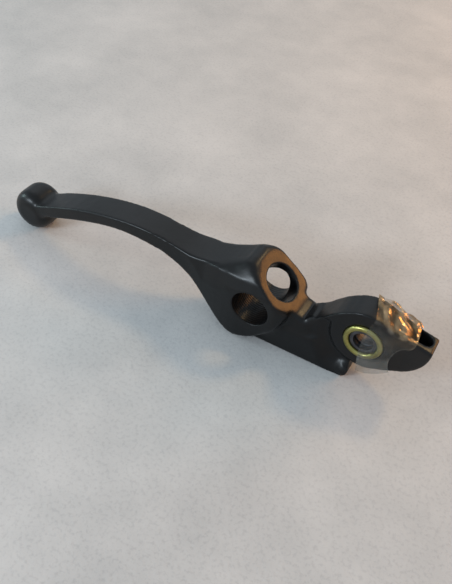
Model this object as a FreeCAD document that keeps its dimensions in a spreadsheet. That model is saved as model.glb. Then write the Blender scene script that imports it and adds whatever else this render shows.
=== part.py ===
"""Clutch lever of a motorcycle, as a parametric FreeCAD document.

Frame: the origin is the middle of the pivot bore. +Y runs along the pivot
axis, +X points from the pivot to the short tip, and +Z is up as the lever
stands on its front edge, on the ball and the flat under the neck.
All sizes are in millimetres.
"""
import os

import FreeCAD, Part
import Sketcher
from math import cos, sin, radians

V = FreeCAD.Vector

SIZES = {
    # pivot eye, bush and sleeve
    "eye_radius": 14.2,
    "eye_thickness": 12.0,
    "eye_bore_d": 16.6,
    "bush_outer_d": 16.5,
    "bush_inner_d": 11.6,
    "bush_length": 14.4,
    "bush_lip_round": 1.1,
    "running_gap": 0.05,
    "sleeve_bore_d": 8.2,
    "sleeve_length": 12.2,
    "sleeve_groove_d": 9.2,
    "sleeve_groove_width": 1.2,
    "sleeve_chamfer": 0.5,
    # adjuster lobe and its two bores
    "adjuster_x": -46.4,
    "adjuster_z": -2.4,
    "adjuster_bore_d": 16.4,
    "cross_bore_d": 16.0,
    "cross_bore_angle": 50.0,
    "cross_face_distance": 11.9,
    "lobe_width": 26.0,
    "bore_edge": 0.5,
    # neck and the clearance for the perch's ears
    "neck_width": 16.4,
    "ear_clearance_radius": 18.0,
    "stand_level": -23.0,
    # blade and ball
    "blade_width": 14.2,
    "ball_x": -169.6,
    "ball_z": -12.9,
    "ball_radius": 10.1,
    "ball_width": 17.0,
    "ball_offset": 1.4,
    "ball_round": 5.6,
    # tip and its slot, which lies nearer the back face
    "tip_width": 9.8,
    "slot_width": 6.0,
    "slot_offset": 0.9,
    "slot_start": 11.6,
    "slot_end": 24.0,
    "slot_floor": 2.0,
    # clear tape that keeps the loose bush in the eye
    "tape_thickness": 0.3,
    "tape_left": 0.8,
    "tape_right": 17,
    "tape_top": 15.4,
    "tape_bottom": -16.6,
    "tape_front_gap": 0.35,
    "tape_back_drop": 7.0,
}


def make_sheet(doc):
    """Keep every driving size in one spreadsheet and give each an alias."""
    sheet = doc.addObject("Spreadsheet::Sheet", "Sizes")
    for row, (alias, value) in enumerate(SIZES.items(), start=1):
        sheet.set(f"A{row}", alias)
        sheet.set(f"B{row}", str(value))
        sheet.setAlias(f"B{row}", alias)
    doc.recompute()
    return sheet


def make_body(doc, label):
    """Start a sub-part as a body of its own."""
    body = doc.addObject("PartDesign::Body", label)
    body.Label = label
    body.Placement = FreeCAD.Placement()
    return body


def make_sketch(body, name, role, height=0.0):
    """Start a sketch on one of the body's origin planes."""
    sketch = body.newObject("Sketcher::SketchObject", name)
    plane = next(f for f in body.Origin.OriginFeatures if f.Role == role)
    sketch.AttachmentSupport = [(plane, "")]
    sketch.MapMode = "FlatFace"
    sketch.AttachmentOffset = FreeCAD.Placement(V(0, 0, height), FreeCAD.Rotation())
    return sketch


def line(start, end):
    return Part.LineSegment(V(*start, 0), V(*end, 0))


def arc(start, middle, end):
    return Part.Arc(V(*start, 0), V(*middle, 0), V(*end, 0))


def spline(points):
    curve = Part.BSplineCurve()
    curve.interpolate([V(x, y, 0) for x, y in points])
    return curve


def add_loop(sketch, edges):
    """Add edges that follow each other and close, and join their ends."""
    ends = []
    for edge in edges:
        index = sketch.addGeometry(edge, False)
        same_way = sketch.getPoint(index, 1).isEqual(edge.StartPoint, 1e-6)
        ends.append((index, 1, 2) if same_way else (index, 2, 1))
    for (one, _, leaving), (other, entering, _) in zip(ends, ends[1:] + ends[:1]):
        sketch.addConstraint(Sketcher.Constraint("Coincident", one, leaving, other, entering))


def add_polygon(sketch, corners):
    ends = corners[1:] + corners[:1]
    add_loop(sketch, [line(a, b) for a, b in zip(corners, ends)])


def add_circle(sketch, x, z, diameter, names):
    """Add a circle whose place and size are bound to the sheet."""
    index = sketch.addGeometry(Part.Circle(V(x, z, 0), V(0, 0, 1), diameter / 2), False)
    size = sketch.addConstraint(Sketcher.Constraint("Diameter", index, diameter))
    sketch.setExpression(f"Constraints[{size}]", f"Sizes.{names['d']}")
    for kind, key, value in (("DistanceX", "x", x), ("DistanceY", "z", z)):
        if key in names:
            place = sketch.addConstraint(Sketcher.Constraint(kind, -1, 1, index, 3, value))
            sketch.setExpression(f"Constraints[{place}]", f"Sizes.{names[key]}")
    if "x" not in names:
        sketch.addConstraint(Sketcher.Constraint("Coincident", index, 3, -1, 1))


def pad(body, sketch, name, length):
    """Pad a sketch to both sides of its plane; length is an expression."""
    feature = body.newObject("PartDesign::Pad", name)
    feature.Profile = sketch
    feature.SideType = "Symmetric"
    feature.setExpression("Length", length)
    return feature


def pocket_through(body, sketch, name):
    """Cut a sketch through everything on both sides of its plane."""
    feature = body.newObject("PartDesign::Pocket", name)
    feature.Profile = sketch
    feature.Type = "ThroughAll"
    feature.SideType = "Symmetric"
    return feature


def revolve(body, sketch, name, kind="PartDesign::Revolution", axis="V_Axis"):
    feature = body.newObject(kind, name)
    feature.Profile = sketch
    feature.ReferenceAxis = (sketch, [axis])
    feature.Angle = 360
    return feature


def size_of(sheet):
    return {alias: float(sheet.get(alias)) for alias in SIZES}


def cross_point(s, distance, along):
    """Point in the XZ plane, given from the adjuster axis along the cross bore."""
    turn = radians(s["cross_bore_angle"])
    x = s["adjuster_x"] + distance * cos(turn) - along * sin(turn)
    z = s["adjuster_z"] + distance * sin(turn) + along * cos(turn)
    return (x, z)


def on_circle(radius, degrees):
    """Point at an angle round the pivot axis."""
    return (radius * cos(radians(degrees)), radius * sin(radians(degrees)))


def mirrored(points, side):
    """The same points on the front (-1) or the rear (1) side of the mid plane."""
    return [(x, side * y) for x, y in points]


def clearance_arc(s):
    """Start, middle and end of the concave arc that clears the perch's ears."""
    return [on_circle(s["ear_clearance_radius"], degrees) for degrees in (206, 234, 262)]


def nose_edges(s):
    """From the end of the ear clearance round the nose to the flat below."""
    stand = s["stand_level"]
    end = clearance_arc(s)[2]
    top = (end[0], end[1] - 2.0)
    low = (top[0] - 3.4, stand)
    return [line(end, top), arc(top, (top[0] - 1.0, stand + 1.0), low)], low


def blade_front(s):
    """Front edge of the blade, from the heel of the neck to the ball."""
    return [(-52.0, s["stand_level"]), (-59.5, -20.8), (-66, -15.9), (-73, -10.1), (-80.5, -4.4),
            (-90, 0.0), (-102, 2.3), (-116, 2.4), (-130, -0.4), (-144, -4.8), (-158, -10.2),
            (s["ball_x"], -15.4)]


def core_outline(s):
    """Side view of blade, lobe and neck, as far as the ear clearance."""
    crest = cross_point(s, s["cross_face_distance"], 12.9)
    ridge = cross_point(s, s["cross_face_distance"], -16.4)
    ledge = (-21.6, -8.2)
    front = blade_front(s)
    back = [(s["ball_x"], -9.2), (-160, -4.6), (-148, 0.2), (-134, 4.7), (-118, 8.1), (-104, 9.2),
            (-92, 8.3), (-81, 7.0), (-71, 7.8), (-61, 10.9), (-54.5, 14.2)]
    clearance = clearance_arc(s)
    nose, nose_low = nose_edges(s)
    return [
        spline(back),
        arc(back[-1], (-51.4, 15.55), crest),
        line(crest, ridge),
        arc(ridge, (-22.2, -6.2), ledge),
        line(ledge, clearance[0]),
        arc(*clearance),
        *nose,
        line(nose_low, front[0]),
        spline(front),
        line(front[-1], back[0]),
    ]


def cheek_outline(s):
    """Side view of the wide cheeks round the adjuster bore."""
    top = cross_point(s, s["cross_face_distance"], 12.4)
    low = cross_point(s, s["cross_face_distance"], -10.4)
    back = [(-92, 7.6), (-81, 6.4), (-71, 7.3), (-61, 10.4), (-54.3, 13.7), (-51.0, 15.0), top]
    round_the_bore = [low, (-33.4, -6.6), (-38.6, -13.4), (-45.6, -19.0), (-53.4, -22.0)]
    front = [round_the_bore[-1], (-60.4, -19.4), (-66.6, -14.4), (-73.6, -8.4), (-81, -3.0), (-92, 1.4)]
    return [
        spline(back),
        line(top, low),
        spline(round_the_bore),
        spline(front),
        line(front[-1], back[0]),
    ]


def neck_outline(s):
    """Side view of the wide foot of the neck, under the sloping face."""
    clearance = clearance_arc(s)
    nose, nose_low = nose_edges(s)
    heel = (-52.0, s["stand_level"])
    back = [heel, (-48.5, -16.0), (-40, -10.5), (-30, -9.4), clearance[0]]
    return [spline(back), arc(*clearance), *nose, line(nose_low, heel)]


def plan_side(s, side):
    """Everything outside the lever's plan outline, on one side of it."""
    blade = s["blade_width"] / 2
    lobe = s["lobe_width"] / 2
    neck = s["neck_width"] / 2
    clear = lobe + 6
    start = (s["ball_x"] - 15, blade - 0.8)
    flank = [start, (-150, blade - 0.3), (-124, blade - 0.1), (-100, blade - 0.3), (-88, blade - 0.3),
             (-78, blade + 0.8), (-68, blade + 3.2), (-60, lobe - 0.8), (-53, lobe)]
    reach = 0.7 if side > 0 else 0.0
    shoulder = [(reach - 38, lobe), (reach - 34, lobe - 0.7), (reach - 31.4, neck + 1.8), (-28, neck + 0.1)]
    end = (8, neck + 0.1)
    corners = [end, (8, clear), (start[0], clear), start]

    loop = [spline(mirrored(flank, side)), line(*mirrored([flank[-1], shoulder[0]], side))]
    loop.append(spline(mirrored(shoulder, side)))
    loop.append(line(*mirrored([shoulder[-1], end], side)))
    for a, b in zip(corners[:-1], corners[1:]):
        loop.append(line(*mirrored([a, b], side)))
    return loop


# Where the lobe's side ends at each x, from its top down its flank, away from the mid plane.
FRONT_SHOULDER = [
    (-94, [(3.0, 11.0), (7.2, 9.4), (7.4, 3.0), (7.6, -4.0)]),
    (-71, [(3.0, 10.4), (7.3, 8.0), (8.7, 2.4), (9.7, -4.0)]),
    (-64.5, [(4.4, 11.4), (8.9, 9.4), (10.7, 3.2), (11.6, -4.0)]),
    (-58, [(5.0, 13.2), (10.2, 9.7), (12.4, 3.8), (13.2, -4.0)]),
    (-52.7, [(4.8, 16.4), (11.0, 9.9), (13.0, 4.6), (13.4, -4.0)]),
    (-46.5, [(6.2, 16.7), (11.1, 11.0), (13.1, 6.1), (13.4, -4.0)]),
    (-26, [(6.2, 16.7), (11.1, 11.0), (13.1, 6.1), (13.4, -4.0)]),
]
REAR_SHOULDER = [
    (-94, [(3.0, 11.0), (6.9, 9.4), (7.4, 7.0), (7.6, -4.0)]),
    (-71, [(3.0, 9.2), (6.4, 7.7), (8.6, 5.9), (9.7, -4.0)]),
    (-64.5, [(4.0, 10.9), (6.2, 9.75), (9.6, 7.25), (11.6, -4.0)]),
    (-58, [(4.6, 13.4), (7.0, 12.2), (10.4, 9.75), (13.0, -4.0)]),
    (-52.7, [(5.6, 15.8), (7.4, 14.95), (10.6, 12.6), (13.0, -4.0)]),
    (-46.5, [(6.6, 17.0), (8.6, 16.2), (11.9, 12.9), (12.7, -4.0)]),
    (-26, [(6.6, 17.0), (8.6, 16.2), (11.9, 12.9), (12.7, -4.0)]),
]
SHOULDER_CLEAR = (18.0, 20.0)


def cut_shoulder(body, name, edges, side):
    """Slopes the lobe's shoulder from its narrow top out to the wide cheek."""
    clear_y, clear_z = SHOULDER_CLEAR
    sketches = []
    for number, (x, edge) in enumerate(edges):
        section = make_sketch(body, f"{name}_{number}", "YZ_Plane", x)
        outside = [(clear_y, edge[-1][1]), (clear_y, clear_z), (edge[0][0], clear_z)]
        add_polygon(section, [(side * y, z) for y, z in edge + outside])
        sketches.append(section)
    cut = body.newObject("PartDesign::SubtractiveLoft", name)
    cut.Profile = sketches[0]
    cut.Sections = sketches[1:]
    cut.Ruled = True


def plate_outline(s):
    """Side view of the pivot eye with its bridge to the neck and its tip."""
    r = s["eye_radius"]
    bridge_top = (-25.0, -2.9)
    bridge_middle = (-15.5, -13.5)
    bridge_low = (-3.4, -19.0)
    tip_top = (25.7, 7.4)
    tip_low = (16.6, -8.8)
    return [
        spline([bridge_top, (-21.6, 0.0), (-17.4, 3.9), (-13.2, 8.0), on_circle(r, 126)]),
        arc(*[on_circle(r, degrees) for degrees in (126, 92, 58)]),
        spline([on_circle(r, 58), (12.0, 10.6), (17.4, 9.2), tip_top]),
        arc(tip_top, (23.6, -1.6), tip_low),
        spline([tip_low, (12.0, -10.2), on_circle(r, 294)]),
        arc(*[on_circle(r, degrees) for degrees in (294, 276, 258)]),
        line(on_circle(r, 258), bridge_low),
        line(bridge_low, bridge_middle),
        line(bridge_middle, bridge_top),
    ]


def trim_tip(body, s):
    """Narrows the tip beyond the eye, on both sides."""
    tip = make_sketch(body, "tip_outline", "XY_Plane")
    narrow = s["tip_width"] / 2
    wide = s["eye_thickness"] / 2
    past = s["slot_end"] + 6
    for side in (-1, 1):
        corners = [(11, wide), (16, narrow), (past, narrow), (past, wide + 1), (11, wide + 1)]
        add_polygon(tip, mirrored(corners, side))
    pocket_through(body, tip, "tip_trim")


def build_lever_body(doc, s):
    """The forged lever: blade, ball, lobe with two bores, neck, eye and tip."""
    body = make_body(doc, "lever_body")

    core = make_sketch(body, "core_outline", "XZ_Plane")
    add_loop(core, core_outline(s))
    pad(body, core, "core", "Sizes.blade_width")

    cheeks = make_sketch(body, "cheek_outline", "XZ_Plane")
    add_loop(cheeks, cheek_outline(s))
    pad(body, cheeks, "cheeks", "Sizes.lobe_width + 4")

    neck = make_sketch(body, "neck_outline", "XZ_Plane")
    add_loop(neck, neck_outline(s))
    pad(body, neck, "neck_foot", "Sizes.neck_width")

    plan = make_sketch(body, "plan_outline", "XY_Plane")
    for side in (-1, 1):
        add_loop(plan, plan_side(s, side))
    pocket_through(body, plan, "plan_trim")

    cut_shoulder(body, "front_shoulder", FRONT_SHOULDER, -1)
    cut_shoulder(body, "rear_shoulder", REAR_SHOULDER, 1)

    plate = make_sketch(body, "plate_outline", "XZ_Plane")
    add_loop(plate, plate_outline(s))
    pad(body, plate, "pivot_plate", "Sizes.eye_thickness")

    trim_tip(body, s)
    add_ball(body, s)
    cut_bores(body, s)
    cut_slot(body, s)
    return body


def add_ball(body, s):
    """A short drum with well rounded rims, its axis along the pivot's, flush with the blade in front."""
    ball = make_sketch(body, "ball_section", "XY_Plane", s["ball_z"])
    front = s["ball_offset"] - s["ball_width"] / 2
    rear = s["ball_offset"] + s["ball_width"] / 2
    q = s["ball_round"]
    k = q * (1 - cos(radians(45)))
    axis = s["ball_x"]
    rim = axis + s["ball_radius"]
    add_loop(ball, [
        line((axis, front), (axis, rear)),
        line((axis, rear), (rim - q, rear)),
        arc((rim - q, rear), (rim - k, rear - k), (rim, rear - q)),
        line((rim, rear - q), (rim, front + q)),
        arc((rim, front + q), (rim - k, front + k), (rim - q, front)),
        line((rim - q, front), (axis, front)),
    ])
    revolve(body, ball, "ball", axis="Edge1")


def cut_bores(body, s):
    """Pivot bore, adjuster bore and the cross bore that opens into it."""
    pivot = make_sketch(body, "pivot_bore_circle", "XZ_Plane")
    add_circle(pivot, 0, 0, s["eye_bore_d"], {"d": "eye_bore_d"})
    pocket_through(body, pivot, "pivot_bore")

    adjuster = make_sketch(body, "adjuster_bore_circle", "XZ_Plane")
    names = {"d": "adjuster_bore_d", "x": "adjuster_x", "z": "adjuster_z"}
    add_circle(adjuster, s["adjuster_x"], s["adjuster_z"], s["adjuster_bore_d"], names)
    pocket_through(body, adjuster, "adjuster_bore")

    cross = make_sketch(body, "cross_bore_section", "XZ_Plane")
    r = s["cross_bore_d"] / 2
    mouth = s["cross_face_distance"]
    edge = s["bore_edge"]
    section = [(0, 0), (0, r), (mouth - edge, r), (mouth + edge, r + 2 * edge), (mouth + edge, 0)]
    add_polygon(cross, [cross_point(s, distance, along) for distance, along in section])
    revolve(body, cross, "cross_bore", kind="PartDesign::Groove", axis="Edge5")


def cut_slot(body, s):
    """Open slot along the tip's edge."""
    slot = make_sketch(body, "slot_outline", "XY_Plane", s["slot_floor"])
    r = s["slot_width"] / 2
    left = s["slot_start"] + r
    right = s["slot_end"] - r
    y = s["slot_offset"]
    add_loop(slot, [
        line((left, y + r), (right, y + r)),
        arc((right, y + r), (right + r, y), (right, y - r)),
        line((right, y - r), (left, y - r)),
        arc((left, y - r), (left - r, y), (left, y + r)),
    ])
    cut = body.newObject("PartDesign::Pocket", "slot")
    cut.Profile = slot
    cut.Type = "Length"
    cut.setExpression("Length", "Sizes.eye_radius")
    cut.Reversed = True


def build_pivot_bush(doc, s):
    """Plain bush with rolled lips that stand proud of the eye."""
    body = make_body(doc, "pivot_bush")
    section = make_sketch(body, "bush_section", "XY_Plane")
    outer = s["bush_outer_d"] / 2
    inner = s["bush_inner_d"] / 2
    half = s["bush_length"] / 2
    q = s["bush_lip_round"]
    k = q * (1 - cos(radians(45)))
    edges = []
    for side in (1, -1):
        rim = [(inner, side * (half - q)), (inner + k, side * (half - k)), (inner + q, side * half),
               (outer - q, side * half), (outer - k, side * (half - k)), (outer, side * (half - q))]
        pieces = [arc(*rim[0:3]), line(rim[2], rim[3]), arc(*rim[3:6])]
        if side < 0:
            pieces = [arc(*rim[5:2:-1]), line(rim[3], rim[2]), arc(*rim[2::-1])]
        edges += pieces
        edges.append(line((outer, half - q), (outer, q - half)) if side > 0
                     else line((inner, q - half), (inner, half - q)))
    add_loop(section, edges)
    revolve(body, section, "bush_ring")
    return body


def build_pivot_sleeve(doc, s):
    """Steel sleeve inside the bush, with grease grooves in its bore."""
    body = make_body(doc, "pivot_sleeve")
    section = make_sketch(body, "sleeve_section", "XY_Plane")
    outer = s["bush_inner_d"] / 2 - s["running_gap"]
    bore = s["sleeve_bore_d"] / 2
    half = s["sleeve_length"] / 2
    c = s["sleeve_chamfer"]
    add_polygon(section, [
        (bore + c, half), (outer - c, half), (outer, half - c), (outer, c - half),
        (outer - c, -half), (bore + c, -half), (bore, c - half), (bore, half - c),
    ])
    revolve(body, section, "sleeve_ring")
    doc.recompute()
    grooves = make_sketch(body, "groove_section", "XY_Plane")
    width = s["sleeve_groove_width"]
    deep = s["sleeve_groove_d"] / 2
    for middle in (-half + 2.6, half - 2.6):
        low, high = middle - width / 2, middle + width / 2
        add_polygon(grooves, [(bore - 0.2, low), (deep, low), (deep, high), (bore - 0.2, high)])
    revolve(body, grooves, "grease_grooves", kind="PartDesign::Groove")
    return body


def build_retaining_tape(doc, s):
    """Clear tape folded over the eye so that the loose bush stays in."""
    tape = doc.addObject("Part::Feature", "retaining_tape")
    tape.Label = "retaining_tape"
    t = s["tape_thickness"]
    front = s["bush_length"] / 2 + s["tape_front_gap"]
    back = s["eye_thickness"] / 2 + s["tape_front_gap"]
    wide = s["tape_right"] - s["tape_left"]
    face = Part.makeBox(wide, t, s["tape_top"] - s["tape_bottom"],
                        V(s["tape_left"], -front - t, s["tape_bottom"]))
    fold = Part.makeBox(wide, front + back + 2 * t, t, V(s["tape_left"], -front - t, s["tape_top"]))
    tail = Part.makeBox(wide, t, s["tape_back_drop"],
                        V(s["tape_left"], back, s["tape_top"] - s["tape_back_drop"]))
    tape.Shape = face.fuse([fold, tail]).removeSplitter()
    tape.Placement = FreeCAD.Placement()
    return tape


def check(doc, parts):
    """Stop before anything is written if the document did not build."""
    for item in doc.Objects:
        if "Invalid" in item.State or "Error" in item.State:
            raise RuntimeError(f"{item.Name} is {item.State}")
    for part in parts:
        shape = part.Shape
        if shape.isNull() or not shape.isValid():
            raise RuntimeError(f"{part.Label} has no valid shape")
        box = shape.BoundBox
        print(f"{part.Label}: {shape.Volume:.0f} mm3, {len(shape.Solids)} solid,"
              f" x {box.XMin:.1f} {box.XMax:.1f} y {box.YMin:.1f} {box.YMax:.1f}"
              f" z {box.ZMin:.1f} {box.ZMax:.1f}")


def main():
    doc = FreeCAD.newDocument("clutch_lever")
    sheet = make_sheet(doc)
    s = size_of(sheet)
    parts = [
        build_lever_body(doc, s),
        build_pivot_bush(doc, s),
        build_pivot_sleeve(doc, s),
        build_retaining_tape(doc, s),
    ]
    doc.recompute()
    check(doc, parts)
    os.makedirs("parts", exist_ok=True)
    for part in parts:
        part.Shape.exportStep(os.path.join("parts", f"{part.Label}.step"))


main()
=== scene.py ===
import math

import bmesh
import bpy
import numpy as np
from mathutils import Matrix, Vector


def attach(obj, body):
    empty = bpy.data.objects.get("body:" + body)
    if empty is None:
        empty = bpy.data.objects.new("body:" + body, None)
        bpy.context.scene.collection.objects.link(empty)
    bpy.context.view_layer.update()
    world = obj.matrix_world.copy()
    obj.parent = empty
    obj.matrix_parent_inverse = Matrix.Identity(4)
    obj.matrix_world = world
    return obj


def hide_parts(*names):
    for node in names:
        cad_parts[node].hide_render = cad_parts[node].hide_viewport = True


MM = 0.001

# Sizes in millimetres, the same as the CAD model's.
STAND_LEVEL = -23.0
EYE_THICKNESS = 12.0
EYE_BORE_R = 8.3
BUSH_OUTER_R = 8.25
BUSH_INNER_R = 5.8
BUSH_LENGTH = 14.4
BUSH_LIP_R = 1.1
SLEEVE_OUTER_R = 5.75
SLEEVE_BORE_R = 4.1
SLEEVE_LENGTH = 12.2
SLEEVE_CHAMFER = 0.45
GROOVE_R = 4.6
GROOVE_WIDTH = 1.2
GROOVE_INSET = 2.6
ADJUSTER = (-46.4, -2.4)
ADJUSTER_R = 8.2
LOBE_WIDTH = 26.0
CROSS_R = 8.0
CROSS_ANGLE = 50.0
CROSS_FACE = 11.9

# Room round a cut bore, and the depth of the adjuster bore's tool marks.
CLEARANCE = 0.05
TOOL_MARK = 0.09

# The forged surface is rebuilt from cubes of this size before it is smoothed.
VOXEL = 0.42

# The hollow round the eye's rim: radii and angles about the pivot axis, and half widths of the neck.
NECK_HALF = 8.2 + 0.1
HOLLOW_HALF = 4.3
HOLLOW_START = 14.35
HOLLOW_RISE = (15.8, 23.0)
HOLLOW_FADE = (26, 31)
HOLLOW_ANGLES = (160, 280)
HOLLOW_TOP_FADE = 12
NOSE_ANGLES = (215, 235)
NOSE_EXTRA_RISE = 3.0
BULB = (-4.5, -20.9)
BULB_R = 4.2
SOLE_SLOPE = 1.2
UNTOUCHED = 99.0

# The low step at the foot of the lobe's machined face, between X and Z limits over which it fades.
STEP_HEIGHT = 1.2
STEP_STARTS = (-28.8, -26.8)
STEP_ENDS = (-22.4, -20.8)
STEP_BOTTOM = (-8.0, -5.5)
STEP_TOP = (3.0, 5.0)

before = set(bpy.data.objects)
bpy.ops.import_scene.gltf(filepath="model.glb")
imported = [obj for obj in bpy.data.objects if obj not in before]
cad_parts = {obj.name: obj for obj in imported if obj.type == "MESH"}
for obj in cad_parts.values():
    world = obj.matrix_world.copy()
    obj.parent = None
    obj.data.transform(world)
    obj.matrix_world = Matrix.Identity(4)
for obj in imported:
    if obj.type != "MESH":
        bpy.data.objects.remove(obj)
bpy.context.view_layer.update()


# ---------------------------------------------------------------- mesh helpers

def make_object(name, mesh):
    obj = bpy.data.objects.new(name, mesh)
    bpy.context.scene.collection.objects.link(obj)
    return obj


def mesh_of(name, verts, faces):
    mesh = bpy.data.meshes.new(name)
    mesh.from_pydata([tuple(v) for v in verts], [], faces)
    mesh.update()
    return mesh


def evaluated_mesh(obj):
    """A new mesh with the object's modifiers applied."""
    graph = bpy.context.evaluated_depsgraph_get()
    graph.update()
    return bpy.data.meshes.new_from_object(obj.evaluated_get(graph))


def bake_modifier(obj, kind, **settings):
    modifier = obj.modifiers.new(kind, kind)
    for key, value in settings.items():
        setattr(modifier, key, value)
    mesh = evaluated_mesh(obj)
    obj.modifiers.remove(modifier)
    old = obj.data
    obj.data = mesh
    bpy.data.meshes.remove(old)
    return obj


def discard(obj):
    mesh = obj.data
    bpy.data.objects.remove(obj)
    bpy.data.meshes.remove(mesh)


def smooth_shading(mesh, sharp_degrees=35.0):
    """Smooth shading that keeps real corners crisp."""
    work = bmesh.new()
    work.from_mesh(mesh)
    for face in work.faces:
        face.smooth = True
    limit = math.radians(sharp_degrees)
    for edge in work.edges:
        edge.smooth = len(edge.link_faces) == 2 and edge.calc_face_angle(0.0) < limit
    work.to_mesh(mesh)
    work.free()


def lathe(name, profile, matrix, segments=128, closed=True, slots=None):
    """Turns (radius, height) points about the local Z axis. A closed profile makes a ring."""
    verts = []
    for radius, height in profile:
        for i in range(segments):
            angle = 2 * math.pi * i / segments
            verts.append((radius * math.cos(angle), radius * math.sin(angle), height))
    faces = []
    rows = len(profile)
    for row in range(rows if closed else rows - 1):
        low, high = row * segments, ((row + 1) % rows) * segments
        for i in range(segments):
            j = (i + 1) % segments
            faces.append((low + i, low + j, high + j, high + i))
    if not closed:
        faces.append(tuple(reversed(range(segments))))
        faces.append(tuple((rows - 1) * segments + i for i in range(segments)))
    mesh = mesh_of(name, verts, faces)
    if slots:
        for face in mesh.polygons:
            face.material_index = slots(face)
    mesh.transform(matrix)
    work = bmesh.new()
    work.from_mesh(mesh)
    bmesh.ops.recalc_face_normals(work, faces=work.faces)
    work.to_mesh(mesh)
    work.free()
    return mesh


def along_y(x, z):
    """Places a lathe's axis along the frame's Y axis, in metres from millimetres."""
    turn = Matrix.Rotation(math.radians(-90), 4, "X")
    return Matrix.Translation((x * MM, 0, z * MM)) @ turn @ Matrix.Scale(MM, 4)


def along_cross():
    """Places a lathe's axis along the cross bore, starting in the adjuster bore's axis."""
    turn = Matrix.Rotation(math.radians(90 - CROSS_ANGLE), 4, "Y")
    return Matrix.Translation((ADJUSTER[0] * MM, 0, ADJUSTER[1] * MM)) @ turn @ Matrix.Scale(MM, 4)


def arc_points(centre, radius, start, end, count):
    return [
        (centre[0] + radius * math.cos(math.radians(start + (end - start) * i / count)),
         centre[1] + radius * math.sin(math.radians(start + (end - start) * i / count)))
        for i in range(count + 1)
    ]


# ---------------------------------------------------------------- lever

def bore_cutter(name, radius, half, matrix, rings=0.0, pitch=1.0, flare=0.5):
    """A bore's cutter with rounded mouths and, where rings is not 0, turned tool marks."""
    mouth = arc_points((radius + flare, flare - half), flare, 270, 180, 6)
    profile = [(mouth[0][0], -half - 1.0)] + mouth
    straight = half - flare
    steps = int(2 * straight / (pitch / 6)) if rings else 2
    for i in range(1, steps):
        h = -straight + 2 * straight * i / steps
        wave = 0.5 + 0.5 * math.cos(2 * math.pi * h / pitch)
        profile.append((radius - rings * wave, h))
    profile += [(r, -h) for r, h in reversed(mouth)]
    profile.append((mouth[0][0], half + 1.0))
    return make_object(name, lathe(name, profile, matrix, 160, closed=False))


def get_points(mesh):
    points = np.empty(len(mesh.vertices) * 3)
    mesh.vertices.foreach_get("co", points)
    return points.reshape(-1, 3)


def set_points(mesh, points):
    mesh.vertices.foreach_set("co", points.ravel())
    mesh.update()


def relax(mesh, passes, weight, fill=False):
    """Smooths the mesh: each pass moves a point towards the mean of its neighbours by its weight.

    With fill, points only move outwards, so hollows fill up and nothing shrinks.
    """
    points = get_points(mesh)
    count = len(points)
    edges = np.empty(len(mesh.edges) * 2, np.int32)
    mesh.edges.foreach_get("vertices", edges)
    first, second = edges.reshape(-1, 2).T
    share = weight(points / MM)
    active = (share[first] > 0) | (share[second] > 0)
    first, second = first[active], second[active]
    degree = np.maximum(np.bincount(first, minlength=count) + np.bincount(second, minlength=count), 1)
    normals = np.empty(count * 3)
    for number in range(passes):
        move = np.empty_like(points)
        for axis in range(3):
            along = points[:, axis]
            total = np.bincount(first, along[second], count) + np.bincount(second, along[first], count)
            move[:, axis] = total / degree - along
        if fill:
            if number % 10 == 0:
                set_points(mesh, points)
                mesh.vertices.foreach_get("normal", normals)
            move[(move * normals.reshape(-1, 3)).sum(axis=1) < 0] = 0
        points += share[:, None] * move
    set_points(mesh, points)


def ramp(value, low, high):
    t = np.clip((value - low) / (high - low), 0, 1)
    return t * t * (3 - 2 * t)


def near(points, centre, inner, outer):
    """1 within inner of a point, falling to 0 at outer."""
    away = np.linalg.norm(points - np.array(centre), axis=1)
    return 1 - ramp(away, inner, outer)


def mouth_distance(points):
    """Distance in millimetres from each point to the nearest bore's mouth."""
    x, y, z = points.T
    adjuster = np.hypot(np.hypot(x - ADJUSTER[0], z - ADJUSTER[1]) - ADJUSTER_R,
                        np.abs(y) - LOBE_WIDTH / 2)
    eye = np.hypot(np.hypot(x, z) - EYE_BORE_R, np.abs(y) - EYE_THICKNESS / 2)
    c, s = math.cos(math.radians(CROSS_ANGLE)), math.sin(math.radians(CROSS_ANGLE))
    out = (x - ADJUSTER[0]) * c + (z - ADJUSTER[1]) * s
    up_slope = (z - ADJUSTER[1]) * c - (x - ADJUSTER[0]) * s
    cross = np.hypot(np.hypot(up_slope, y) - CROSS_R, out - CROSS_FACE)
    return np.minimum(np.minimum(adjuster, cross), eye)


def hollow_by_eye(points):
    """Half width of the neck near the eye: a hollow round the eye's rim, and a round bulb at the nose."""
    x, _, z = points.T
    radius = np.hypot(x, z)
    angle = np.degrees(np.arctan2(z, x)) % 360
    low_angle, high_angle = HOLLOW_ANGLES
    rise_start, rise_end = HOLLOW_RISE
    rise = ramp(radius, rise_start, rise_end + NOSE_EXTRA_RISE * ramp(angle, *NOSE_ANGLES))
    neck = HOLLOW_HALF + (NECK_HALF - HOLLOW_HALF) * rise
    from_bulb = np.hypot(x - BULB[0], z - BULB[1])
    bulb = NECK_HALF - from_bulb ** 2 / (2 * BULB_R)
    sole = NECK_HALF - SOLE_SLOPE * np.clip(z - STAND_LEVEL, 0, None)
    half = np.maximum(np.maximum(neck, bulb), sole)
    at_top = 1 - ramp(angle, low_angle, low_angle + HOLLOW_TOP_FADE)
    half = half + 4 * at_top + 6 * ramp(radius, *HOLLOW_FADE)
    inside = (radius >= HOLLOW_START) & (radius <= HOLLOW_FADE[1])
    inside &= (angle >= low_angle) & (angle <= high_angle)
    return np.where(inside, half, UNTOUCHED)


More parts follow.
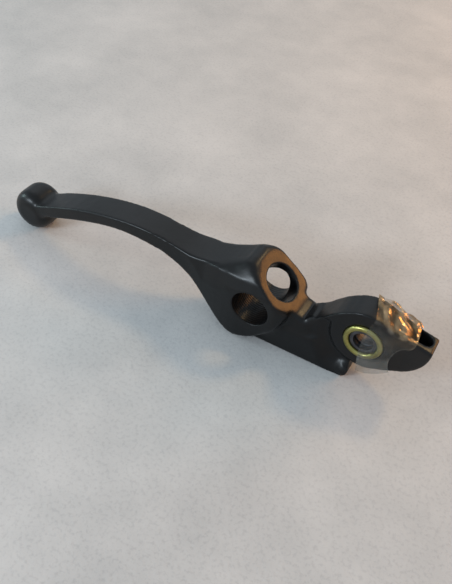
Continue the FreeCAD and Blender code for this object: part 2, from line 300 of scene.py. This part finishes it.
def press(mesh):
    """Presses the hollow into the neck's two faces and raises the step at the foot of the lobe's face."""
    points = get_points(mesh) / MM
    half = hollow_by_eye(points)
    points[:, 1] = np.clip(points[:, 1], -half, half)
    x, _, z = points.T
    on_top = ramp(z, *STEP_BOTTOM) * (1 - ramp(z, *STEP_TOP))
    step = ramp(x, *STEP_STARTS) * (1 - ramp(x, *STEP_ENDS)) * on_top
    points[:, 2] += STEP_HEIGHT * step
    set_points(mesh, points * MM)


def both_sides(points, centre, inner, outer):
    x, y, z = centre
    return near(points, (x, -y, z), inner, outer) + near(points, (x, y, z), inner, outer)


def above_sole(points):
    return ramp(points[:, 2], STAND_LEVEL + 1.0, STAND_LEVEL + 4.0)


# Each of the next four gives every point its share of smoothing, and leaves the bores' mouths alone.

def edges_share(points):
    """Everywhere: takes the hard edges off."""
    return 0.5 * ramp(mouth_distance(points), 0.7, 1.9)


def hollows_share(points):
    """Where the ball, the lobe and the cheeks run into the rest in a deep round hollow."""
    saddle = near(points, (-159.5, 0, -8), 6, 13)
    foot = both_sides(points, (-36, 8.2, -9), 8, 15) * above_sole(points)
    cheek = both_sides(points, (-30, 8.5, 0), 3, 7)
    return edges_share(points) * np.clip(saddle + foot + cheek, 0, 1)


def forged_share(points):
    """Where the forging is softly rounded."""
    from_pivot = np.hypot(points[:, 0], points[:, 2])
    saddle = near(points, (-159.5, 0, -8), 3, 9)
    nose = 0.6 * near(points, (-4, 0, -20), 5, 11)
    corner = both_sides(points, (-48, 9, 14), 2.5, 6)
    foot = both_sides(points, (-34, 8.2, -8), 8, 16) * above_sole(points)
    valley = both_sides(points, (-20, 6, -6), 6, 11) * ramp(from_pivot, 15.0, 16.5)
    return edges_share(points) * np.clip(saddle + nose + corner + foot + valley, 0, 1)


def crown_share(points):
    """The front edge of the lobe's crest, and the corners at the foot of its machined face."""
    crest = ((-50, 15.2), (-55, 13.8), (-61, 11.5))
    rounded = sum(near(points, (x, -6.3, z), 2.5, 5.0) for x, z in crest)
    foot = both_sides(points, (-23, 8.2, -1), 1.8, 4.5)
    return edges_share(points) * np.clip(rounded + foot, 0, 1)


def cross_cutter():
    """The cross bore's cutter, from the adjuster bore's axis out past the machined face."""
    mouth = arc_points((CROSS_R + 0.65, CROSS_FACE - 0.6), 0.6, 180, 90, 6)
    profile = [(CROSS_R + CLEARANCE, 0.0)] + mouth + [(mouth[-1][0], CROSS_FACE + 3)]
    return make_object("cut_cross", lathe("cut_cross", profile, along_cross(), 160, closed=False))


def build_lever():
    """The forged body: the CAD shape with its edges rounded as a forging's are, and its bores cut again."""
    body = make_object("lever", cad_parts["lever_body"].data.copy())
    work = bmesh.new()
    work.from_mesh(body.data)
    bmesh.ops.remove_doubles(work, verts=work.verts, dist=1e-6)
    work.to_mesh(body.data)
    work.free()
    body.data.materials.clear()
    bake_modifier(body, "REMESH", mode="VOXEL", voxel_size=VOXEL * MM)

    press(body.data)
    relax(body.data, 8, edges_share)
    relax(body.data, 140, hollows_share, fill=True)
    relax(body.data, 30, forged_share)
    relax(body.data, 70, crown_share)
    cutters = [
        bore_cutter("cut_eye", EYE_BORE_R + CLEARANCE, EYE_THICKNESS / 2, along_y(0, 0), flare=0.35),
        bore_cutter("cut_adjuster", ADJUSTER_R + TOOL_MARK, LOBE_WIDTH / 2, along_y(*ADJUSTER),
                    rings=TOOL_MARK, pitch=1.1, flare=0.45),
        cross_cutter(),
    ]
    for slot, cutter in zip((0, 1, 0), cutters):
        for face in cutter.data.polygons:
            face.material_index = slot
        bake_modifier(body, "BOOLEAN", object=cutter, operation="DIFFERENCE", solver="EXACT",
                      material_mode="INDEX")
        discard(cutter)
    smooth_shading(body.data, 32)
    return body


# ---------------------------------------------------------------- bush and sleeve

def build_bush():
    half, lip = BUSH_LENGTH / 2, BUSH_LIP_R
    front = arc_points((BUSH_OUTER_R - lip, half - lip), lip, 0, 90, 10)
    front += arc_points((BUSH_INNER_R + lip, half - lip), lip, 90, 180, 10)
    profile = front + [(r, -h) for r, h in reversed(front)]
    mesh = lathe("bush", profile, along_y(0, 0), 192)
    smooth_shading(mesh, 50)
    return make_object("bush", mesh)


def build_sleeve():
    """The sleeve, with a second material slot for its bore and its grease grooves, whose darker steel paints
    the shade inside the bore.
    """
    outer, bore, c = SLEEVE_OUTER_R, SLEEVE_BORE_R, SLEEVE_CHAMFER
    half = SLEEVE_LENGTH / 2
    profile = [(outer, c - half), (outer, half - c), (outer - 0.15, half - 0.12), (outer - c, half)]
    profile += [(bore + c, half), (bore + 0.12, half - 0.15), (bore, half - c)]
    for middle in (half - GROOVE_INSET, GROOVE_INSET - half):
        high, low = middle + GROOVE_WIDTH / 2, middle - GROOVE_WIDTH / 2
        profile += [(bore, high + 0.1), (bore + 0.1, high), (GROOVE_R, high - 0.1)]
        profile += [(GROOVE_R, low + 0.1), (bore + 0.1, low), (bore, low - 0.1)]
    profile += [(bore, c - half), (bore + 0.12, 0.15 - half), (bore + c, -half)]
    profile += [(outer - c, -half), (outer - 0.15, 0.12 - half)]

    def slot(face):
        return int(math.hypot(*face.center[:2]) < GROOVE_R + 0.1)

    mesh = lathe("sleeve", profile, along_y(0, 0), 160, slots=slot)
    smooth_shading(mesh, 25)
    return make_object("sleeve", mesh)


# ---------------------------------------------------------------- materials

class Nodes:
    """A short way to write a material's nodes."""

    def __init__(self, name):
        self.material = bpy.data.materials.new(name)
        self.material.use_nodes = True
        self.tree = self.material.node_tree
        self.shader = self.tree.nodes["Principled BSDF"]
        self.place = self.tree.nodes.new("ShaderNodeTexCoord").outputs["Object"]

    def set(self, **values):
        for key, value in values.items():
            self.shader.inputs[key.replace("_", " ")].default_value = value
        return self

    def link(self, source, target):
        self.tree.links.new(source, target)

    def noise(self, scale, detail=4.0, rough=0.6, stretch=None):
        node = self.tree.nodes.new("ShaderNodeTexNoise")
        node.inputs["Scale"].default_value = scale
        node.inputs["Detail"].default_value = detail
        node.inputs["Roughness"].default_value = rough
        source = self.place
        if stretch:
            mapping = self.tree.nodes.new("ShaderNodeMapping")
            mapping.inputs["Scale"].default_value = stretch
            self.link(self.place, mapping.inputs["Vector"])
            source = mapping.outputs["Vector"]
        self.link(source, node.inputs["Vector"])
        return node.outputs["Fac"]

    def ramp(self, source, stops):
        node = self.tree.nodes.new("ShaderNodeValToRGB")
        elements = node.color_ramp.elements
        while len(elements) < len(stops):
            elements.new(0.5)
        for element, (position, colour) in zip(elements, stops):
            element.position = position
            element.color = colour if len(colour) == 4 else (*colour, 1)
        self.link(source, node.inputs["Fac"])
        return node.outputs["Color"]

    def scale(self, source, low, high, out_low, out_high):
        node = self.tree.nodes.new("ShaderNodeMapRange")
        for key, value in (("From Min", low), ("From Max", high), ("To Min", out_low), ("To Max", out_high)):
            node.inputs[key].default_value = value
        self.link(source, node.inputs["Value"])
        return node.outputs["Result"]

    def attribute(self, name):
        """A number that the mesh carries at each of its points."""
        node = self.tree.nodes.new("ShaderNodeAttribute")
        node.attribute_name = name
        return node.outputs["Fac"]

    def mix(self, factor, first, second):
        """Mixes two colours by a number or by another node's output."""
        node = self.tree.nodes.new("ShaderNodeMix")
        node.data_type = "RGBA"
        if isinstance(factor, float):
            node.inputs[0].default_value = factor
        else:
            self.link(factor, node.inputs[0])
        self.link(first, node.inputs[6])
        self.link(second, node.inputs[7])
        return node.outputs[2]

    def bump(self, source, distance, strength=1.0, before=None):
        node = self.tree.nodes.new("ShaderNodeBump")
        node.inputs["Strength"].default_value = strength
        node.inputs["Distance"].default_value = distance
        self.link(source, node.inputs["Height"])
        if before:
            self.link(before, node.inputs["Normal"])
        return node.outputs["Normal"]

    def colour(self, source):
        self.link(source, self.shader.inputs["Base Color"])

    def roughness(self, source):
        self.link(source, self.shader.inputs["Roughness"])

    def normal(self, source):
        self.link(source, self.shader.inputs["Normal"])


def coating():
    n = Nodes("satin_black_coating").set(Metallic=0.0, IOR=1.5, Specular_IOR_Level=0.31)
    cloudy = n.noise(60, 3, 0.5)
    n.colour(n.ramp(cloudy, [(0.3, (0.0032, 0.0034, 0.0038)), (0.7, (0.0060, 0.0060, 0.0064))]))
    n.roughness(n.scale(n.noise(220, 3, 0.6), 0.3, 0.7, 0.30, 0.37))
    peel = n.bump(n.noise(1400, 2, 0.5), 0.000012)
    n.normal(n.bump(n.noise(260, 2, 0.5), 0.00006, before=peel))
    return n.material


def bore_metal_painted_warm_light():
    n = Nodes("turned_metal_painted_warm_light").set(Metallic=1.0)
    line = n.noise(1.0, 4, 0.7, (90, 1500, 90))
    # Painted light on bare metal: the brown and pale orange paint the warm light falling into the bore, and
    # the dark and bright rings paint shade and glints along the real tool marks.
    dark, warm_lit, bright = (0.08, 0.05, 0.03), (0.34, 0.22, 0.14), (0.95, 0.74, 0.54)
    n.colour(n.ramp(line, [(0.38, dark), (0.52, warm_lit), (0.64, bright)]))
    n.roughness(n.scale(line, 0.3, 0.7, 0.48, 0.32))
    n.normal(n.bump(line, 0.00012))
    return n.material


def plated_brass_tone():
    n = Nodes("yellow_zinc_plating").set(Metallic=1.0)
    tone = n.noise(180, 3, 0.5)
    olive, yellow, pale = (0.27, 0.25, 0.075), (0.40, 0.37, 0.13), (0.36, 0.35, 0.18)
    n.colour(n.ramp(tone, [(0.3, olive), (0.55, yellow), (0.8, pale)]))
    n.roughness(n.scale(n.noise(500, 3, 0.6), 0.3, 0.7, 0.26, 0.38))
    n.normal(n.bump(n.noise(900, 3, 0.5), 0.00002))
    return n.material


def turned_steel(name, dark, light):
    n = Nodes(name).set(Metallic=1.0)
    line = n.noise(1.0, 3, 0.5, (160, 3000, 160))
    n.colour(n.ramp(line, [(0.3, dark), (0.7, light)]))
    n.roughness(n.scale(line, 0.3, 0.7, 0.44, 0.56))
    n.normal(n.bump(line, 0.00003))
    return n.material


def clear_film():
    n = Nodes("clear_film").set(Metallic=0.7, IOR=1.6)
    opacity = n.attribute("opacity")
    painted_warm_light = n.attribute("painted_warm_light")
    crease = n.noise(420, 4, 0.65)
    cool = n.ramp(crease, [(0.3, (0.26, 0.27, 0.25)), (0.7, (0.42, 0.42, 0.40))])
    # The warm ramp paints the warm lamp's reflection into the film's colour on its top and side.
    warm = n.ramp(crease, [(0.3, (0.30, 0.19, 0.09)), (0.7, (0.62, 0.45, 0.27))])
    n.colour(n.mix(painted_warm_light, cool, warm))
    n.link(opacity, n.shader.inputs["Alpha"])
    n.roughness(n.scale(crease, 0.3, 0.7, 0.07, 0.2))
    n.normal(n.bump(crease, 0.00003))
    return n.material


def stone():
    n = Nodes("pale_stone").set(Roughness=0.8, Specular_IOR_Level=0.25)
    cloudy = n.ramp(n.noise(16, 6, 0.65), [(0.32, (0.47, 0.465, 0.46)), (0.68, (0.63, 0.61, 0.595))])
    grain = n.ramp(n.noise(650, 3, 0.7), [(0.36, (0.28, 0.28, 0.29)), (0.50, (0.55, 0.54, 0.53))])
    n.colour(n.mix(0.22, cloudy, grain))
    n.normal(n.bump(n.noise(500, 4, 0.6), 0.0001))
    return n.material


def give(obj, *materials):
    obj.data.materials.clear()
    for material in materials:
        obj.data.materials.append(material)


# ---------------------------------------------------------------- tape

# Lines across the tape from its left edge to its right: up the front, over the top and down the back.
TAPE_LINES = [
    [(0.4, -7.6, -15.4), (4.0, -7.5, -14.8), (7.4, -7.1, -13.4), (10.4, -6.5, -11.8), (12.8, -5.9, -10.2)],
    [(-0.2, -7.7, -9.0), (3.4, -7.7, -9.0), (6.6, -7.5, -8.8), (9.2, -6.8, -7.6), (11.6, -6.3, -5.4)],
    [(-0.4, -7.6, -2.0), (3.2, -7.6, -2.0), (6.6, -7.6, -2.0), (9.4, -7.0, -1.4), (12.2, -6.4, 0.2)],
    [(0.1, -7.6, 4.6), (3.6, -7.6, 4.2), (7.0, -7.4, 3.8), (10.6, -6.7, 4.0), (14.6, -5.9, 4.6)],
    [(1.2, -7.2, 10.0), (4.8, -6.9, 9.2), (8.8, -6.6, 8.0), (13.0, -6.3, 7.0), (18.0, -5.5, 6.4)],
    [(2.5, -6.4, 14.6), (6.5, -6.4, 13.2), (10.5, -6.3, 11.7), (14.6, -5.7, 10.4), (19.2, -5.1, 9.2)],
    [(1.6, -3.2, 15.2), (6.0, -3.2, 14.4), (10.0, -3.2, 12.8), (14.2, -3.0, 11.2), (19.0, -3.0, 9.6)],
    [(0.4, 0.5, 15.4), (5.2, 0.5, 15.1), (9.5, 0.5, 13.7), (14.0, 0.5, 11.7), (18.6, 0.5, 9.9)],
    [(-0.6, 3.5, 15.3), (4.4, 3.6, 15.3), (9.2, 3.6, 13.7), (14.0, 3.4, 11.8), (18.2, 3.0, 9.9)],
    [(-1.4, 6.3, 14.6), (3.4, 6.4, 15.0), (9.3, 6.3, 13.1), (14.8, 6.0, 11.0), (18.5, 5.4, 9.5)],
    [(-1.2, 6.8, 11.5), (3.4, 6.8, 11.4), (8.5, 6.8, 9.6), (13.5, 6.4, 7.6), (17.5, 5.8, 6.4)],
    [(-1.0, 6.7, 8.8), (3.2, 6.7, 8.7), (7.8, 6.7, 6.9), (12.5, 6.3, 5.1), (16.5, 5.7, 4.3)],
]
TAPE_STEPS = (168, 84)
TAPE_SPAN = (17, 3.6)
TAPE_THICKNESS = 0.07
TAPE_SEED = 11
FOLD_WAVES = ((6.6, 1.0), (4.7, 0.9), (3.2, 0.55))
CURL = (13.4, -4.3, 10.3)
CURL_R = 1.3
CURL_WIDTH = 0.4
CURL_HEIGHT = 0.55


def through(points, count):
    """A smooth curve through rows of points, as count + 1 rows."""
    padded = np.concatenate([2 * points[:1] - points[1:2], points, 2 * points[-1:] - points[-2:-1]])
    rows = []
    for step in range(count + 1):
        place = step / count * (len(points) - 1)
        i = min(int(place), len(points) - 2)
        t = place - i
        a, b, c, d = padded[i:i + 4]
        rows.append(0.5 * (2 * b + (c - a) * t + (2 * a - 5 * b + 4 * c - d) * t * t
                           + (3 * b - a - 3 * c + d) * t ** 3))
    return np.array(rows)


def folds(u, v, random):
    """Height of crumpled film at (u, v): flat facets that meet in sharp creases."""
    height = np.zeros_like(u)
    for wave, share in FOLD_WAVES:
        turn = random.uniform(0, math.pi)
        sway = u * random.uniform(0.3, 0.6) + v * random.uniform(0.3, 0.6) + random.uniform(0, 6)
        across = (u * math.cos(turn) + v * math.sin(turn)) / wave
        phase = across + 0.35 * (0.4 * np.sin(sway)) + random.uniform(0, 1)
        height += share * wave * (np.abs(phase % 1.0 - 0.5) - 0.25)
    return height


def point_values(mesh, name, values):
    layer = mesh.attributes.new(name, "FLOAT", "POINT")
    layer.data.foreach_set("value", values.ravel().astype(np.float32))


def film_shape():
    """Points of the film's middle surface in millimetres, how opaque it is at each, and how much painted
    warm light its colour carries at each.
    """
    rows, columns = TAPE_STEPS
    grid = through(np.array(TAPE_LINES, float), rows)
    grid = through(grid.transpose(1, 0, 2), columns).transpose(1, 0, 2)
    normal = np.cross(np.gradient(grid, axis=1), np.gradient(grid, axis=0))
    normal /= np.linalg.norm(normal, axis=2, keepdims=True)

    # s counts the tape's lines from the bottom in front, and t runs from its left edge to its right.
    s = np.linspace(0, len(TAPE_LINES) - 1, rows + 1)[:, None] * np.ones((1, columns + 1))
    t = np.linspace(0, 1, columns + 1)[None, :] * np.ones((rows + 1, 1))
    crumple = folds(t * TAPE_SPAN[0], s * TAPE_SPAN[1], np.random.default_rng(TAPE_SEED))
    on_top = ramp(s, 4.5, 5.4) * (1 - ramp(s, 9.3, 10.0))
    side = ramp(s, 2.4, 4.4) * (1 - ramp(s, 4.5, 5.4)) * ramp(t, 0.35, 0.7)
    calm = 1 - 0.8 * ramp(t, 0.85, 1.0)
    grid += normal * ((0.012 + 0.23 * on_top + 0.09 * side) * calm * crumple)[:, :, None]

    from_curl = np.linalg.norm(grid - np.array(CURL), axis=2)
    ring = np.exp(-((from_curl - CURL_R) / CURL_WIDTH) ** 2)
    inside_ring = np.exp(-(from_curl / 0.85) ** 2)
    grid += normal * (CURL_HEIGHT * ring)[:, :, None]

    # On the top, opacity rising with the folds' height paints glints and dark gaps across the facets.
    facets = np.clip(0.55 + 0.5 * crumple, 0.12, 1)
    strip = 1 - ramp(s, 1.0, 1.9)
    rim = np.clip(1 - np.abs(t - 1) / 0.03, 0, 1) + 0.4 * np.clip(1 - t / 0.02, 0, 1)
    # A grey veil over the bush: painted glare on the film there.
    painted_glare_over_bush = np.clip(1.5 - np.hypot(grid[:, :, 0] - 2, grid[:, :, 2]) / EYE_BORE_R, 0, 0.5)
    opacity = (0.02 + 0.14 * painted_glare_over_bush + 0.25 * strip + 0.50 * on_top * facets + 0.04 * side
               + 0.22 * rim + 0.5 * ring - 0.5 * inside_ring)
    return grid, np.clip(opacity, 0, 0.85), np.clip(on_top + 0.6 * side, 0, 1)


def build_tape():
    """Clear tape over the eye and the tip, creased where it was pulled round the edge."""
    rows, columns = TAPE_STEPS
    grid, opacity, painted_warm_light = film_shape()
    verts = grid.reshape(-1, 3) * MM
    faces = []
    for i in range(rows):
        for j in range(columns):
            a = i * (columns + 1) + j
            faces.append((a, a + 1, a + columns + 2, a + columns + 1))
    mesh = mesh_of("tape", verts, faces)
    point_values(mesh, "opacity", opacity)
    point_values(mesh, "painted_warm_light", painted_warm_light)
    tape = make_object("tape", mesh)
    bake_modifier(tape, "SOLIDIFY", thickness=TAPE_THICKNESS * MM, offset=0)
    smooth_shading(tape.data, 12)
    return tape


# ---------------------------------------------------------------- pieces on their bodies

lever = build_lever()
# The lever's second material, on the adjuster bore, carries painted warm light, shade and glints.
give(lever, coating(), bore_metal_painted_warm_light())
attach(lever, "lever")
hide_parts("lever_body")

bush = build_bush()
give(bush, plated_brass_tone())
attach(bush, "bush")
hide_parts("pivot_bush")

sleeve = build_sleeve()
# The second, darker copy of the steel paints the shade inside the sleeve's bore and grooves.
give(sleeve, turned_steel("turned_steel", (0.055, 0.055, 0.062), (0.14, 0.14, 0.155)),
     turned_steel("steel_painted_bore_shade", (0.018, 0.016, 0.015), (0.075, 0.070, 0.065)))
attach(sleeve, "sleeve")
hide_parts("pivot_sleeve")

tape = build_tape()
give(tape, clear_film())
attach(tape, "lever")
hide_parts("retaining_tape")


# ---------------------------------------------------------------- floor, light and camera

FLOOR_HALF = 3.0
floor_corners = [(FLOOR_HALF * x, FLOOR_HALF * y, 0) for x, y in ((-1, -1), (1, -1), (1, 1), (-1, 1))]
floor = make_object("floor", mesh_of("floor", floor_corners, [(0, 1, 2, 3)]))
floor.location = (0, 0, STAND_LEVEL * MM)
give(floor, stone())

scene = bpy.context.scene
scene.view_settings.view_transform = "Standard"
world = bpy.data.worlds.new("world")
world.use_nodes = True
sky = world.node_tree.nodes["Background"].inputs
sky["Color"].default_value = (0.80, 0.91, 1.0, 1)
sky["Strength"].default_value = 0.58
scene.world = world

LIGHT_TARGET = Vector((-0.05, 0, -0.01))


def area_light(name, direction, distance, size, power, colour):
    """A soft light that faces the lever from a direction, at a distance in metres, with a power in watts."""
    data = bpy.data.lights.new(name, "AREA")
    data.shape = "RECTANGLE"
    data.size, data.size_y = size
    data.energy = power
    data.color = colour
    lamp = bpy.data.objects.new(name, data)
    scene.collection.objects.link(lamp)
    toward = Vector(direction).normalized()
    lamp.location = LIGHT_TARGET + toward * distance
    lamp.rotation_euler = toward.to_track_quat("Z", "Y").to_euler()


area_light("warm_low", (0.66, 0.68, 0.33), 0.80, (0.34, 0.22), 2.5, (1.0, 0.42, 0.09))
area_light("warm_high", (0.30, 0.61, 0.73), 0.90, (0.14, 0.12), 1.6, (1.0, 0.66, 0.30))
area_light("cool_front", (-0.50, -0.76, 0.42), 0.85, (0.26, 0.13), 3.4, (0.80, 0.91, 1.0))
area_light("cool_left", (-0.93, -0.22, 0.30), 0.80, (0.16, 0.12), 1.0, (0.72, 0.96, 0.98))
area_light("soft_back", (-0.42, 0.60, 0.68), 1.20, (0.9, 0.7), 1.0, (0.95, 0.97, 1.0))

AZIMUTH, ELEVATION, ROLL = map(math.radians, (27.215, 45.274, 4.290))
SENSOR_MM = 36
LENS_MM = 43.1507
SHIFT_UP = -0.00171
CAMERA_PLACE = (0.03378, -0.19048, 0.20366)
right = Vector((math.cos(AZIMUTH), math.sin(AZIMUTH), 0))
level = Vector((-math.sin(AZIMUTH), math.cos(AZIMUTH), 0))
forward = level * math.cos(ELEVATION) - Vector((0, 0, math.sin(ELEVATION)))
up = right.cross(forward)
side = math.cos(ROLL) * right + math.sin(ROLL) * up
top = -math.sin(ROLL) * right + math.cos(ROLL) * up
camera = bpy.data.objects.new("camera", bpy.data.cameras.new("camera"))
scene.collection.objects.link(camera)
camera.data.sensor_width = SENSOR_MM
camera.data.lens = LENS_MM
camera.data.shift_y = SHIFT_UP
camera.data.clip_start = 0.01
axes = Matrix((side, top, -forward)).transposed()
camera.matrix_world = Matrix.Translation(CAMERA_PLACE) @ axes.to_4x4()
scene.camera = camera
